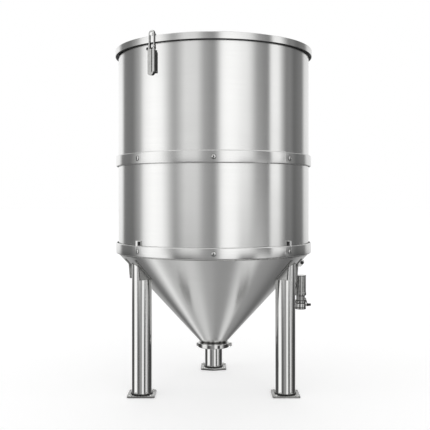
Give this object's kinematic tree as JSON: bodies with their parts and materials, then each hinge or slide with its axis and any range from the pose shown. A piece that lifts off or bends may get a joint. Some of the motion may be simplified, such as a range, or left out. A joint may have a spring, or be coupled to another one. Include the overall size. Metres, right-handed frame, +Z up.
{
  "type": "neutralization tank",
  "caption": "Upright round stainless tank with a latched lid, two bolted hoops, a cone bottom with a clamped outlet, a side probe housing and pipe legs on foot plates.",
  "frame": {"origin": "on the floor, on the tank's vertical axis", "axes": "+Z up the tank's axis, -Y towards the front, +X towards the probe housing"},
  "size_m": [1.188, 1.188, 2.0448],
  "materials": {
    "sheet": "brushed sheet",
    "bar": "brushed flat bar",
    "tube": "polished tube",
    "plate": "satin plate",
    "fitting": "polished fitting"
  },
  "bodies": {
    "root": {"upper_shell_front": "sheet", "upper_shell_back": "sheet", "lower_shell_front": "sheet", "lower_shell_back": "sheet", "cone_front": "sheet", "cone_back": "sheet", "lid": "sheet", "mid_hoop_front": "bar", "mid_hoop_right": "bar", "mid_hoop_back": "bar", "mid_hoop_left": "bar", "lower_hoop_front": "bar", "lower_hoop_right": "bar", "lower_hoop_back": "bar", "lower_hoop_left": "bar", "leg_left": "tube", "leg_right": "tube", "leg_rear": "tube", "foot_plate_left": "plate", "foot_plate_right": "plate", "foot_plate_rear": "plate", "leg_web_left_a": "plate", "leg_web_left_b": "plate", "leg_web_right_a": "plate", "leg_web_right_b": "plate", "leg_web_rear_a": "plate", "leg_web_rear_b": "plate", "outlet_ferrule": "fitting", "outlet_cap": "fitting", "outlet_clamp_front": "fitting", "outlet_clamp_back": "fitting", "outlet_clamp_bolt": "fitting", "probe_nozzle": "fitting", "probe_housing": "fitting", "probe_cap": "fitting", "probe_clamp": "fitting", "probe_clamp_bolt": "fitting", "earth_lug": "fitting", "latch_bracket_front": "fitting", "latch_lever_front": "fitting", "latch_bail_front": "fitting", "latch_bracket_rear": "fitting", "latch_lever_rear": "fitting", "latch_bail_rear": "fitting"}
  },
  "joints": []
}
